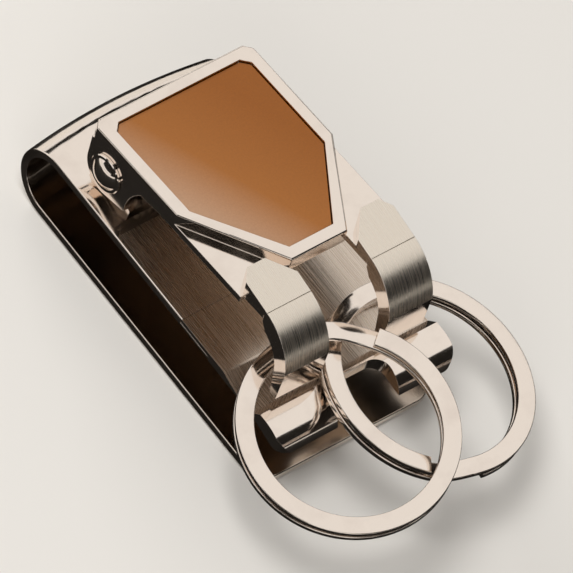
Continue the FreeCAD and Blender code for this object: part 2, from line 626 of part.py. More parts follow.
seat = FRONT_TOP + " + bracket_wall"
pieces.append(rivet("bracket_rivets", [("-bracket_rivet_spread / 2", "pivot_place - bracket_rivet_place"),
                                       ("bracket_rivet_spread / 2", "pivot_place - bracket_rivet_place")], [
    ("0", FRONT_FOOT), ("rivet_radius", FRONT_FOOT), ("rivet_radius", seat), ("rivet_head_radius", seat),
    ("rivet_radius", seat + " + rivet_head"), ("0", seat + " + rivet_head")]))
pieces.append(rivet("lap_rivets", [("-lap_rivet_spread / 2", "-seam_place - lap_length / 2"),
                                   ("lap_rivet_spread / 2", "-seam_place - lap_length / 2")], [
    ("0", FRONT_FOOT), ("rivet_radius", FRONT_FOOT), ("rivet_radius", FRONT_TOP), ("0", FRONT_TOP)]))
hook_rivets = rivet("hook_rivets", [("-hook_centre", "-(base_end + tab_end) / 2"),
                                    ("hook_centre", "-(base_end + tab_end) / 2")], [
    ("0", BASE_FOOT + " - rivet_head"), ("rivet_radius", BASE_FOOT + " - rivet_head"),
    ("rivet_head_radius", BASE_FOOT), ("rivet_radius", BASE_FOOT),
    ("rivet_radius", BASE_TOP + " + hook_rivet_depth"), ("0", BASE_TOP + " + hook_rivet_depth")])
lever_place(hook_rivets)
pieces.append(hook_rivets)

doc.recompute()
for item in doc.Objects:
    if "Invalid" in item.State or "Error" in item.State:
        raise ValueError(f"{item.Name} failed: {item.State}")
os.makedirs("parts", exist_ok=True)
for piece in pieces:
    if piece.Shape.isNull() or not piece.Shape.isValid():
        raise ValueError(f"{piece.Label} has no valid shape")
    print(piece.Label, "solids", len(piece.Shape.Solids), "volume", round(piece.Shape.Volume, 2))
for piece in pieces:
    piece.Shape.exportStep(f"parts/{piece.Label}.step")
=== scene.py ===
import math
import bpy
from mathutils import Matrix, Vector


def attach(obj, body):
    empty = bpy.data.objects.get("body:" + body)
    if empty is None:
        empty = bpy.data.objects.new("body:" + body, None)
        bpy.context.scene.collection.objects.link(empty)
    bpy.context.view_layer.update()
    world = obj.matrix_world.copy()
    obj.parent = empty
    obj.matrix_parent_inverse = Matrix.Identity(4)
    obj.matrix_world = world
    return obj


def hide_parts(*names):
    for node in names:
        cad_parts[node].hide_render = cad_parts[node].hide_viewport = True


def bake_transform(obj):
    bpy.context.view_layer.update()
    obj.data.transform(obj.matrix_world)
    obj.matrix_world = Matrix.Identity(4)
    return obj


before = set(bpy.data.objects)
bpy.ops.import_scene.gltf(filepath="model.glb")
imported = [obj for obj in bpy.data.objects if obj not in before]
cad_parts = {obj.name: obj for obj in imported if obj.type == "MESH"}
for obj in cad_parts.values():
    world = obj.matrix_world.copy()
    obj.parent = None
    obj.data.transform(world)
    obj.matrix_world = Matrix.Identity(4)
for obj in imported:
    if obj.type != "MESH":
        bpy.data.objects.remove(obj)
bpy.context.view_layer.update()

mm = 0.001
# in mm: how far cutters stand over, and how close places count as near, the same, one point or no face
handling = {"over": 1.0, "near": 0.05, "same": 0.01, "merge": 0.002, "sliver": 0.0005, "flatDegrees": 0.5}


def linear(hexColour):
    channels = [int(hexColour[i:i + 2], 16) / 255 for i in (1, 3, 5)]
    return tuple(c / 12.92 if c <= 0.04045 else ((c + 0.055) / 1.055) ** 2.4 for c in channels) + (1.0,)


def addNode(tree, kind, settings=None, links=None):
    node = tree.nodes.new(kind)
    for key, value in (settings or {}).items():
        if key in node.inputs and not hasattr(node, key):
            node.inputs[key].default_value = value
        else:
            setattr(node, key, value)
    for key, source in (links or {}).items():
        tree.links.new(source, node.inputs[key])
    return node


def newMaterial(name):
    material = bpy.data.materials.new(name)
    material.use_nodes = True
    tree = material.node_tree
    return material, tree, tree.nodes["Principled BSDF"]


# mesh work

def clearSelection():
    if bpy.context.object and bpy.context.object.mode != "OBJECT":
        bpy.ops.object.mode_set(mode="OBJECT")
    bpy.ops.object.select_all(action="DESELECT")


def pick(obj):
    clearSelection()
    obj.select_set(True)
    bpy.context.view_layer.objects.active = obj


def arcPoints(start, end, radius, side, steps):
    # points after start up to end on the short arc; side +1 bulges to the left of the way
    a, b = Vector(start), Vector(end)
    chord = b - a
    left = Vector((-chord.y, chord.x)).normalized()
    reach = math.sqrt(max(radius * radius - chord.length_squared / 4, 0))
    centre = (a + b) / 2 - left * reach * side
    fromAngle = math.atan2(a.y - centre.y, a.x - centre.x)
    turn = math.atan2(b.y - centre.y, b.x - centre.x) - fromAngle
    turn = (turn + math.pi) % (2 * math.pi) - math.pi
    return [(centre.x + radius * math.cos(fromAngle + turn * i / steps),
             centre.y + radius * math.sin(fromAngle + turn * i / steps)) for i in range(1, steps + 1)]


def trace(corners, steps=10):
    # corners are (u, v), with radius and side where the next edge is an arc
    points = []
    for i, corner in enumerate(corners):
        points.append(corner[:2])
        if len(corner) > 2:
            after = corners[(i + 1) % len(corners)]
            points += arcPoints(corner[:2], after[:2], corner[2], corner[3], steps)[:-1]
    return points


def outlineSolid(name, points, plane, low, high):
    # a filled outline drawn in the plane at low and extruded to high, all in mm
    clearSelection()
    bpy.ops.mesh.primitive_circle_add(vertices=len(points), radius=mm, fill_type="NGON")
    obj = bpy.context.object
    obj.name = name
    for vertex, (u, v) in zip(obj.data.vertices, points):
        vertex.co = Vector((u, v, low) if plane == "XY" else (low, u, v)) * mm
    bpy.ops.object.mode_set(mode="EDIT")
    bpy.ops.mesh.select_all(action="SELECT")
    way = Vector((0, 0, 1) if plane == "XY" else (1, 0, 0)) * (high - low) * mm
    bpy.ops.mesh.extrude_region_move(TRANSFORM_OT_translate={"value": way})
    bpy.ops.mesh.select_all(action="SELECT")
    bpy.ops.mesh.normals_make_consistent(inside=False)
    bpy.ops.object.mode_set(mode="OBJECT")
    return obj


def rod(name, radius, low, high, centre, axis, vertices=40):
    clearSelection()
    turn = (0, math.pi / 2, 0) if axis == "X" else (0, 0, 0)
    middle = Vector(centre)
    middle["XYZ".index(axis)] = (low + high) / 2
    bpy.ops.mesh.primitive_cylinder_add(vertices=vertices, radius=radius * mm, depth=(high - low) * mm,
                                        location=middle * mm, rotation=turn)
    obj = bpy.context.object
    obj.name = name
    bpy.ops.object.transform_apply(location=True, rotation=True, scale=True)
    return obj


def combine(obj, other, operation):
    pick(obj)
    boolean = obj.modifiers.new("combine", "BOOLEAN")
    boolean.operation = operation
    boolean.solver = "EXACT"
    boolean.object = other
    bpy.ops.object.modifier_apply(modifier=boolean.name)
    bpy.data.objects.remove(other)


def bevelEdges(obj, width, segments, angle, weigh=None):
    # rounds every edge sharper than the angle by the share that weigh gives for the edge's middle in mm
    pick(obj)
    mesh = obj.data
    sides = {}
    for face in mesh.polygons:
        for key in face.edge_keys:
            sides.setdefault(key, []).append(face.normal)
    weights = mesh.attributes.new("bevel_weight_edge", "FLOAT", "EDGE")
    for edge in mesh.edges:
        normals = sides.get(edge.key, ())
        if len(normals) == 2 and normals[0].angle(normals[1], 0) > math.radians(angle):
            ends = [mesh.vertices[i].co for i in edge.vertices]
            weights.data[edge.index].value = weigh((ends[0] + ends[1]) / 2 / mm) if weigh else 1.0
    bevel = obj.modifiers.new("edges", "BEVEL")
    bevel.width = width * mm
    bevel.segments = segments
    bevel.limit_method = "WEIGHT"
    bevel.use_clamp_overlap = True
    bpy.ops.object.modifier_apply(modifier=bevel.name)
    mesh.attributes.remove(mesh.attributes["bevel_weight_edge"])


def roundTop(obj, level, width, segments=5, angle=30):
    # rounds the edges that lie at the given height
    bevelEdges(obj, width, segments, angle, lambda middle: float(abs(middle.z - level) < handling["same"]))


def softenEdges(obj, width, segments=3, angle=30, weigh=None):
    pick(obj)
    bpy.ops.object.mode_set(mode="EDIT")
    bpy.ops.mesh.select_all(action="SELECT")
    bpy.ops.mesh.remove_doubles(threshold=handling["merge"] * mm)
    bpy.ops.mesh.dissolve_limited(angle_limit=math.radians(handling["flatDegrees"]))
    bpy.ops.object.mode_set(mode="OBJECT")
    bevelEdges(obj, width, segments, angle, weigh)


def smoothFaces(obj, angle=30):
    pick(obj)
    bpy.ops.object.shade_smooth_by_angle(angle=math.radians(angle))
    # the broad faces stay flat beside their rounded edges
    flat = obj.modifiers.new("flats", "WEIGHTED_NORMAL")
    flat.keep_sharp = True
    bpy.ops.object.modifier_apply(modifier=flat.name)


def tiltWithLever(obj):
    # the lever's pieces are drawn about the pin and then laid over by its rest angle
    pick(obj)
    obj.location = Vector((0, leverSizes["pivotY"], leverSizes["pivotZ"])) * mm
    obj.rotation_euler = (-math.radians(leverSizes["tilt"]), 0, 0)
    bpy.ops.object.transform_apply(location=True, rotation=True, scale=True)


def dress(obj, *materials):
    obj.data.materials.clear()
    for material in materials:
        obj.data.materials.append(material)


def handOver(obj, body, node):
    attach(obj, body)
    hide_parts(node)
    print("made", obj.name, len(obj.data.polygons), "faces")


# materials

nickelLook = {"base": "#F4E9DF", "low": "#EBDFD5", "tintSteps": (0.2, 0.5), "roughness": (0.06, 0.15),
              "smudgeMm": 4.0, "pitMm": 0.5, "pitDepthMm": 0.02, "pitStrength": 0.02}
noiseSpan = {"From Min": 0.3, "From Max": 0.7}  # where most of a noise texture's values lie


def polishedNickel():
    # bright nickel plate, buffed: a warm mirror with faint smudges and a few fine pits
    material, tree, shader = newMaterial("polishedNickelPlate")
    coords = addNode(tree, "ShaderNodeTexCoord")
    smudge = addNode(tree, "ShaderNodeTexNoise", {"Scale": 1 / (nickelLook["smudgeMm"] * mm), "Detail": 4.0},
                     {"Vector": coords.outputs["Object"]})
    tint = addNode(tree, "ShaderNodeValToRGB", links={"Fac": smudge.outputs["Fac"]})
    for element, shade, step in zip(tint.color_ramp.elements, ("low", "base"), nickelLook["tintSteps"]):
        element.color = linear(nickelLook[shade])
        element.position = step
    least, most = nickelLook["roughness"]
    rough = addNode(tree, "ShaderNodeMapRange", {**noiseSpan, "To Min": least, "To Max": most},
                    {"Value": smudge.outputs["Fac"]})
    pits = addNode(tree, "ShaderNodeTexNoise", {"Scale": 1 / (nickelLook["pitMm"] * mm), "Detail": 2.0},
                   {"Vector": coords.outputs["Object"]})
    bump = addNode(tree, "ShaderNodeBump", {"Strength": nickelLook["pitStrength"],
                                            "Distance": nickelLook["pitDepthMm"] * mm},
                   {"Height": pits.outputs["Fac"]})
    shader.inputs["Metallic"].default_value = 1.0
    tree.links.new(tint.outputs["Color"], shader.inputs["Base Color"])
    tree.links.new(rough.outputs["Result"], shader.inputs["Roughness"])
    tree.links.new(bump.outputs["Normal"], shader.inputs["Normal"])
    return material


def brushedNickel(name, look):
    # satin nickel: long fine scratches along the piece, so its shine is drawn out across them
    material, tree, shader = newMaterial(name)
    coords = addNode(tree, "ShaderNodeTexCoord")
    fine = [1 / (s * mm) for s in look["scratchMm"]]
    stretch = addNode(tree, "ShaderNodeMapping", {"Scale": fine}, {"Vector": coords.outputs["Object"]})
    scratch = addNode(tree, "ShaderNodeTexNoise", {"Scale": 1.0, "Detail": 5.0, "Roughness": 0.65},
                      {"Vector": stretch.outputs["Vector"]})
    tint = addNode(tree, "ShaderNodeValToRGB", links={"Fac": scratch.outputs["Fac"]})
    for element, shade, step in zip(tint.color_ramp.elements, ("low", "base"), look["tintSteps"]):
        element.color = linear(look[shade])
        element.position = step
    least, most = look["roughness"]
    rough = addNode(tree, "ShaderNodeMapRange", {**noiseSpan, "To Min": least, "To Max": most},
                    {"Value": scratch.outputs["Fac"]})
    bump = addNode(tree, "ShaderNodeBump", {"Strength": look["strength"], "Distance": look["depthMm"] * mm},
                   {"Height": scratch.outputs["Fac"]})
    shader.inputs["Metallic"].default_value = 1.0
    tree.links.new(tint.outputs["Color"], shader.inputs["Base Color"])
    tree.links.new(rough.outputs["Result"], shader.inputs["Roughness"])
    tree.links.new(bump.outputs["Normal"], shader.inputs["Normal"])
    return material


# scratches 0.06 and 0.12 mm wide are drawn coarser than real ones so that they show
hookLook = {"base": "#F0E7DA", "low": "#E3D9CC", "tintSteps": (0.3, 0.7), "roughness": (0.2, 0.38),
            "scratchMm": (0.06, 12.0, 12.0), "strength": 0.02, "depthMm": 0.02}
plateLook = {"base": "#EADDD0", "low": "#B5A595", "tintSteps": (0.3, 0.7), "roughness": (0.18, 0.36),
             "scratchMm": (0.12, 12.0, 12.0), "strength": 0.12, "depthMm": 0.02}
# the pale, mid and deep browns fade across the panel as a painted softbox reflection
lacquerLook = {"deep": "#864B0D", "mid": "#935921", "pale": "#B5967C", "sheenFadeMm": (24.0, 60.0),
               "sheenFadeShift": (0.5, 0.1, 0.0), "sheenFadeSpan": (0.05, 1.15), "grainMm": 0.25,
               "grainShade": (0.94, 1.04), "roughness": 0.3, "gloss": 0.3, "coat": 0.25,
               "coatRoughness": 0.06}


def caramelLacquer():
    # baked lacquer on a flat panel: clear glossy coat over caramel brown with fine flake; the fade to pale
    # towards one side is a painted softbox reflection
    material, tree, shader = newMaterial("caramelLacquer")
    coords = addNode(tree, "ShaderNodeTexCoord")
    wide, long = lacquerLook["sheenFadeMm"]
    turned = addNode(tree, "ShaderNodeMapping", {"Location": lacquerLook["sheenFadeShift"],
                                                 "Scale": (1 / (wide * mm), 1 / (long * mm), 0)},
                     {"Vector": coords.outputs["Object"]})
    across = addNode(tree, "ShaderNodeSeparateXYZ", links={"Vector": turned.outputs["Vector"]})
    # painted sheen: the fade that makes one side of the panel paler
    paintedSheen = addNode(tree, "ShaderNodeMath", {"operation": "ADD"},
                   {0: across.outputs["X"], 1: across.outputs["Y"]})
    start, end = lacquerLook["sheenFadeSpan"]
    spread = addNode(tree, "ShaderNodeMapRange", {"From Min": start, "From Max": end},
                     {"Value": paintedSheen.outputs["Value"]})
    tint = addNode(tree, "ShaderNodeValToRGB", links={"Fac": spread.outputs["Result"]})
    tint.color_ramp.elements[0].color = linear(lacquerLook["pale"])
    tint.color_ramp.elements[1].color = linear(lacquerLook["deep"])
    middle = tint.color_ramp.elements.new(0.5)
    middle.color = linear(lacquerLook["mid"])
    flake = addNode(tree, "ShaderNodeTexNoise", {"Scale": 1 / (lacquerLook["grainMm"] * mm), "Detail": 2.0},
                    {"Vector": coords.outputs["Object"]})
    darkest, palest = lacquerLook["grainShade"]
    shade = addNode(tree, "ShaderNodeMapRange", {**noiseSpan, "To Min": darkest, "To Max": palest},
                    {"Value": flake.outputs["Fac"]})
    # 6, 7 and 2 are the mix node's colour sockets
    mixed = addNode(tree, "ShaderNodeMix", {"data_type": "RGBA", "blend_type": "MULTIPLY", "Factor": 1.0},
                    {6: tint.outputs["Color"], 7: shade.outputs["Result"]})
    tree.links.new(mixed.outputs[2], shader.inputs["Base Color"])
    shader.inputs["Roughness"].default_value = lacquerLook["roughness"]
    shader.inputs["Specular IOR Level"].default_value = lacquerLook["gloss"]
    shader.inputs["Coat Weight"].default_value = lacquerLook["coat"]
    shader.inputs["Coat Roughness"].default_value = lacquerLook["coatRoughness"]
    return material


springLook = {"dark": "#6F6B66", "pale": "#8C8780", "roughness": 0.3, "grainMm": 0.3}
rivetLook = {"dark": "#A89F95", "pale": "#C2B8AC", "roughness": 0.25, "grainMm": 0.3}
# darker nickel for the slot's walls and the plate's underside: unbuffed plate, its darkness painted shade
shadedInsideLook = {"dark": "#B0A396", "pale": "#BFB2A4", "roughness": 0.16, "grainMm": 0.4}


def plainMetal(name, look):
    # drawn, headed or unbuffed metal: a fine even grain and a soft shine; the darkness of the inside nickel
    # is painted shade
    material, tree, shader = newMaterial(name)
    coords = addNode(tree, "ShaderNodeTexCoord")
    grain = addNode(tree, "ShaderNodeTexNoise", {"Scale": 1 / (look["grainMm"] * mm), "Detail": 3.0},
                    {"Vector": coords.outputs["Object"]})
    tint = addNode(tree, "ShaderNodeValToRGB", links={"Fac": grain.outputs["Fac"]})
    for element, shade in zip(tint.color_ramp.elements, ("dark", "pale")):
        element.color = linear(look[shade])
    tree.links.new(tint.outputs["Color"], shader.inputs["Base Color"])
    shader.inputs["Metallic"].default_value = 1.0
    shader.inputs["Roughness"].default_value = look["roughness"]
    return material


filmLook = {"dark": "#C9C0A8", "pale": "#DAD3C0", "roughness": 0.6, "cloudMm": 2.0}


def adhesiveFilm():
    # cured clear adhesive, slightly cloudy
    material, tree, shader = newMaterial("clearAdhesive")
    coords = addNode(tree, "ShaderNodeTexCoord")
    cloud = addNode(tree, "ShaderNodeTexNoise", {"Scale": 1 / (filmLook["cloudMm"] * mm)},
                    {"Vector": coords.outputs["Object"]})
    tint = addNode(tree, "ShaderNodeValToRGB", links={"Fac": cloud.outputs["Fac"]})
    for element, shade in zip(tint.color_ramp.elements, ("dark", "pale")):
        element.color = linear(filmLook[shade])
    tree.links.new(tint.outputs["Color"], shader.inputs["Base Color"])
    shader.inputs["Roughness"].default_value = filmLook["roughness"]
    return material


nickel = polishedNickel()
satin = brushedNickel("satinBrushedNickel", hookLook)
plateBrushed = brushedNickel("lineBrushedNickel", plateLook)
lacquer = caramelLacquer()
springSteel = plainMetal("drawnSpringSteel", springLook)
rivetSteel = plainMetal("platedRivetSteel", rivetLook)
shadedInsideNickel = plainMetal("unbuffedNickelPaintedShade", shadedInsideLook)
film = adhesiveFilm()
print("materials ready")


# bent strip

rivetSizes = {"radius": 0.9, "play": 0.02, "lapSpot": (5.5, -6.4), "bracketSpot": (6.5, 15.9), "smooth": 30}
stripSizes = {"width": 30, "thickness": 1.3, "gap": 8.8, "half": 24.75, "crown": 1.1, "shy": 0.008,
              "corner": 3, "seam": 3.4, "seamEdge": 0.15, "lap": 6, "edge": 0.22, "brushedEnd": 11,
              "upward": 0.98, "sideways": 0.3, "gridSteps": 24, "bendSteps": 40, "smooth": 40}


def roundCorners(obj, side, end, radius, low, high):
    # rounds the two free corners of a plate that ends at -end
    over = handling["over"]
    for sign in (-1, 1):
        corner = trace([(sign * side, -end + radius, radius, sign), (sign * (side - radius), -end),
                        (sign * (side - radius), -end - over), (sign * (side + over), -end - over),
                        (sign * (side + over), -end + radius)])
        combine(obj, outlineSolid("cornerCutter", corner, "XY", low - over, high + over), "DIFFERENCE")


def cutRivetHoles(obj, spot, low, high):
    # one hole on each side of the middle, through the plate from low to high
    radius, over = rivetSizes["radius"] + rivetSizes["play"], handling["over"]
    for sign in (-1, 1):
        cutter = rod("rivetCutter", radius, low - over, high + over, (sign * spot[0], spot[1], 0), "Z")
        combine(obj, cutter, "DIFFERENCE")


def seamWeight(seam):
    # the joint between strip and rest shows as a fine line, so its edges are only eased
    return lambda middle: stripSizes["seamEdge"] if abs(middle.y + seam) < handling["near"] else 1.0


def makeStrip():
    s = stripSizes
    clearSelection()
    bpy.ops.mesh.primitive_grid_add(x_subdivisions=s["gridSteps"], y_subdivisions=1, size=1)
    obj = bpy.context.object
    obj.name = "bentStrip"
    for vertex in obj.data.vertices:
        vertex.co = Vector((vertex.co.x * s["width"], -s["half"], (vertex.co.y + 0.5) * s["thickness"])) * mm
    bpy.ops.object.mode_set(mode="EDIT")
    bpy.ops.mesh.select_all(action="SELECT")
    bpy.ops.mesh.extrude_region_move(TRANSFORM_OT_translate={"value": (0, 2 * s["half"] * mm, 0)})
    bendHeight = s["thickness"] + s["gap"] / 2
    bendCentre = (0, s["half"] * mm, bendHeight * mm)
    bpy.ops.mesh.spin(steps=s["bendSteps"], angle=-math.pi, center=bendCentre, axis=(1, 0, 0))
    bpy.ops.mesh.extrude_region_move(TRANSFORM_OT_translate={"value": (0, -(s["half"] + s["seam"]) * mm, 0)})
    bpy.ops.mesh.select_all(action="SELECT")
    bpy.ops.mesh.remove_doubles(threshold=handling["merge"] * mm)
    bpy.ops.mesh.normals_make_consistent(inside=False)
    bpy.ops.object.mode_set(mode="OBJECT")
    side = s["width"] / 2
    for vertex in obj.data.vertices:  # the bend's end is gently crowned and kept a hair short
        if vertex.co.y > (s["half"] - handling["same"]) * mm:
            vertex.co.y -= s["crown"] * mm * (vertex.co.x / (side * mm)) ** 2 + s["shy"] * mm
    lapEnd = -s["seam"] - s["lap"]
    lapRoot = -s["seam"] + handling["over"]
    lap = [(-side, lapEnd), (side, lapEnd), (side, lapRoot), (-side, lapRoot)]
    foot = s["gap"] + s["thickness"]
    top = foot + s["thickness"]
    combine(obj, outlineSolid("lapTongue", lap, "XY", foot, foot + s["thickness"] / 2), "UNION")
    roundCorners(obj, side, s["half"], s["corner"], 0, s["thickness"])
    softenEdges(obj, s["edge"], angle=s["smooth"], weigh=seamWeight(s["seam"]))
    cutRivetHoles(obj, rivetSizes["bracketSpot"], foot, top)
    cutRivetHoles(obj, rivetSizes["lapSpot"], foot, top)
    bpy.ops.object.mode_set(mode="EDIT")
    bpy.ops.mesh.select_all(action="SELECT")
    bpy.ops.mesh.bisect(plane_co=(0, s["brushedEnd"] * mm, 0), plane_no=(0, 1, 0))  # where the brushing ends
    bpy.ops.object.mode_set(mode="OBJECT")
    smoothFaces(obj, s["smooth"])
    dress(obj, nickel, plateBrushed, shadedInsideNickel)
    for face in obj.data.polygons:
        onTop = face.normal.z > s["upward"] and abs(face.center.z - top * mm) < handling["near"] * mm
        if onTop and face.center.y < s["brushedEnd"] * mm:
            face.material_index = 1
        across = max(face.center.y - s["half"] * mm, 0)
        reach = math.hypot(across, face.center.z - bendHeight * mm)
        if reach < (s["gap"] / 2 + handling["near"]) * mm and abs(face.normal.x) < s["sideways"]:
            face.material_index = 2  # the slot's walls are plated but not buffed, and their darker nickel is painted shade
    handOver(obj, "clip", "belt_clip")


makeStrip()


# ring rest

restSizes = {"seam": 3.46, "lap": 9.46, "low": 10.1, "middle": 10.75, "top": 11.4, "channelStart": 12.5,
             "channelEnd": 19.0, "channelDepth": 1.0, "channelRadius": 13, "shoulder": 20.3,
             "shoulderTop": 11.8, "shoulderRadius": 8, "crease": 23.2, "end": 25.8, "lipTop": 11.6,
             "lipRadius": 3.9, "foot": 8.9, "footWidth": 1.3, "notch": 5.2, "notchEnd": 20.6,
             "notchRound": 2.4, "corner": 2.2, "width": 30, "edge": 0.2, "steps": 16, "faceSplit": 10.25,
             "upward": 0.8, "downward": 0.9}


def makeRest():
    s = restSizes
    over = handling["over"]
    section = trace([
        (-s["seam"], s["top"]), (-s["seam"], s["middle"]), (-s["lap"], s["middle"]), (-s["lap"], s["low"]),
        (-s["channelEnd"], s["low"]), (-s["end"] + s["footWidth"], s["foot"]),
        (-s["end"], s["foot"], s["lipRadius"], 1), (-s["crease"], s["lipTop"], s["shoulderRadius"], 1),
        (-s["shoulder"], s["shoulderTop"]),
        (-s["channelEnd"], s["top"] - s["channelDepth"], s["channelRadius"], -1),
        (-s["channelStart"], s["top"])], s["steps"])
    half = s["width"] / 2
    obj = outlineSolid("ringRest", section, "YZ", -half, half)
    notch = trace([
        (-s["notch"], -s["end"] - over), (s["notch"], -s["end"] - over),
        (s["notch"], -s["notchEnd"] - s["notchRound"], s["notchRound"], -1),
        (s["notch"] - s["notchRound"], -s["notchEnd"]),
        (-s["notch"] + s["notchRound"], -s["notchEnd"], s["notchRound"], -1),
        (-s["notch"], -s["notchEnd"] - s["notchRound"])])
    cutter = outlineSolid("notchCutter", notch, "XY", s["foot"] - over, s["shoulderTop"] + over)
    combine(obj, cutter, "DIFFERENCE")
    roundCorners(obj, half, s["end"], s["corner"], s["foot"], s["shoulderTop"])
    softenEdges(obj, s["edge"], weigh=seamWeight(s["seam"]))
    cutRivetHoles(obj, rivetSizes["lapSpot"], s["middle"], s["top"])
    smoothFaces(obj)
    dress(obj, nickel, plateBrushed, shadedInsideNickel)
    for face in obj.data.polygons:  # the lips are polished all round
        if face.center.y > -s["channelEnd"] * mm:
            high = face.center.z > s["faceSplit"] * mm
            if face.normal.z > s["upward"] and high:
                face.material_index = 1
            # the plate's underside over the slot takes the darker nickel: painted shade
            if face.normal.z < -s["downward"] and not high:
                face.material_index = 2
    handOver(obj, "clip", "ring_rest")


makeRest()


def makeLapRivets():
    # flush rivets through the half lap, ground level with the plate
    radius, low, top = rivetSizes["radius"], restSizes["low"], restSizes["top"]
    spread, place = rivetSizes["lapSpot"]
    obj = rod("lapRivets", radius, low, top, (-spread, place, 0), "Z")
    combine(obj, rod("otherRivet", radius, low, top, (spread, place, 0), "Z"), "UNION")
    pick(obj)
    bpy.ops.object.shade_smooth_by_angle(angle=math.radians(rivetSizes["smooth"]))
    dress(obj, plateBrushed)
    handOver(obj, "clip", "lap_rivets")


makeLapRivets()


# lever

leverSizes = {"pivotY": 17.5, "pivotZ": 16.7, "tilt": 6.2, "half": 13.25, "top": 4.7, "shoulder": 13.1,
              "bottom": 26.7, "foot": 4.75, "cut": 1.12, "level": 5.63, "baseTop": 3.63, "baseFoot": 2.53,
              "border": 1.85, "recess": 1.3, "bezelRoot": 0.4, "footShare": 0.55, "shoulderShare": 0.28,
              "baseEnd": 26.2, "sideEnd": 27.1, "tabEnd": 30.8, "tabOut": 12.25, "tabIn": 5.35, "wall": 1.5,
              "bore": 1.15, "rivetSpot": (8.8, -28.5), "edge": 0.2, "round": 0.4}
earSizes = {"lug": 4.05, "root": 0.2, "endLevel": 3.08, "armEnd": 7.95, "armLevel": 2.3, "throat": 6.6,
            "throatRadius": 6.5, "cheek": 4.4, "cheekLevel": 3.3, "steps": 14}
skirtSizes = {"reach": 0.2, "setBack": 0.4, "drop": 1.6, "root": 0.3}


def shieldOutline(inset):
    # the shield drawn in by the inset, its foot and shoulder by a share of it
    s = leverSizes
    wide = s["half"] - inset
    foot = s["foot"] - inset * s["footShare"]
    top = s["top"] - inset
    shoulder = -s["shoulder"] - inset * s["shoulderShare"]
    bottom = -s["bottom"] + inset
    return [(-wide + s["cut"], top), (-wide, top - s["cut"]), (-wide, shoulder), (-foot, bottom),
            (foot, bottom), (wide, shoulder), (wide, top - s["cut"]), (wide - s["cut"], top)]


def earOutline():
    # the side wall with its round lug about the pin
    s = earSizes
    root = leverSizes["baseTop"] - s["root"]
    end = -leverSizes["shoulder"]
    return trace([
        (s["lug"], root), (end, root), (end, s["endLevel"]), (-s["armEnd"], s["armLevel"]),
        (-s["throat"], s["armLevel"], s["throatRadius"], 1), (-s["cheek"], -s["cheekLevel"]),
        (0, -s["lug"], s["lug"], -1), (s["lug"], 0)], s["steps"])


def makeLever():
    s = leverSizes
    wide = s["half"]
    over = handling["over"]
    base = [(-wide + s["cut"], s["top"]), (-wide, s["top"] - s["cut"]), (-wide, -s["sideEnd"]),
            (-s["tabOut"], -s["sideEnd"]), (-s["tabOut"], -s["tabEnd"]), (-s["tabIn"], -s["tabEnd"]),
            (-s["tabIn"], -s["baseEnd"])]
    base += [(-x, y) for x, y in reversed(base)]
    obj = outlineSolid("leverFrame", base, "XY", s["baseFoot"], s["baseTop"])
    bezel = outlineSolid("bezel", shieldOutline(0), "XY", s["baseTop"] - s["bezelRoot"], s["level"])
    roundTop(bezel, s["level"], s["round"])
    combine(obj, bezel, "UNION")
    floor = s["level"] - s["recess"]
    combine(obj, outlineSolid("recessCutter", shieldOutline(s["border"]), "XY", floor, s["level"] + over),
            "DIFFERENCE")
    inner = wide - s["wall"]
    for low in (-wide, inner):
        combine(obj, outlineSolid("ear", earOutline(), "YZ", low, low + s["wall"]), "UNION")
    reach = inner + skirtSizes["reach"]
    front = s["top"] - skirtSizes["setBack"]
    behind = s["top"] - s["wall"]
    skirt = [(-reach, behind), (reach, behind), (reach, front), (-reach, front)]
    skirtFoot = s["baseFoot"] - skirtSizes["drop"]
    skirtTop = s["baseFoot"] + skirtSizes["root"]
    combine(obj, outlineSolid("skirt", skirt, "XY", skirtFoot, skirtTop), "UNION")
    combine(obj, rod("pinCutter", s["bore"], -wide - over, wide + over, (0, 0, 0), "X"), "DIFFERENCE")
    cutRivetHoles(obj, s["rivetSpot"], s["baseFoot"], s["baseTop"])
    softenEdges(obj, s["edge"])
    smoothFaces(obj)
    tiltWithLever(obj)
    dress(obj, nickel)
    handOver(obj, "lever", "lever_frame")


makeLever()

inlaySizes = {"low": 4.48, "high": 5.28, "inset": 1.95, "edge": 0.12}


def makeInlay():
    s = inlaySizes
    obj = outlineSolid("inlayPanel", shieldOutline(s["inset"]), "XY", s["low"], s["high"])
    softenEdges(obj, s["edge"])
    smoothFaces(obj)
    tiltWithLever(obj)
    dress(obj, lacquer)
    handOver(obj, "lever", "inlay_panel")


makeInlay()


# hooks

hookSizes = {"width": 7.4, "centre": 8.8, "top": 25.0, "root": 3.63, "level": 6.2, "crease": 31.5,
             "creaseLevel": 4.5, "line": 0.07, "slopeAbove": 0.26, "slopeBelow": 0.28, "radius": 8.0,
             "side": 37.2, "sideLevel": 2.3, "sideStep": 0.05, "tip": 36.75, "tipLevel": 7.6,
             "tipWidth": 1.25, "tipDrop": 0.53, "thickness": 2.1, "heel": 31.9, "heelLevel": 1.2,
             "tab": 31.05, "tabFoot": 2.53, "innerClip": (3.0, 3.5), "outerClip": (1.4, 1.7), "edge": 0.7,
             "fineEdge": 0.3, "curlDepth": 1.5, "creaseBand": 0.2, "steps": 24}
hookBrushing = {"upward": 0.05, "forward": 0.6, "sideways": 0.15, "topMm": 0.1}  # which faces are brushed


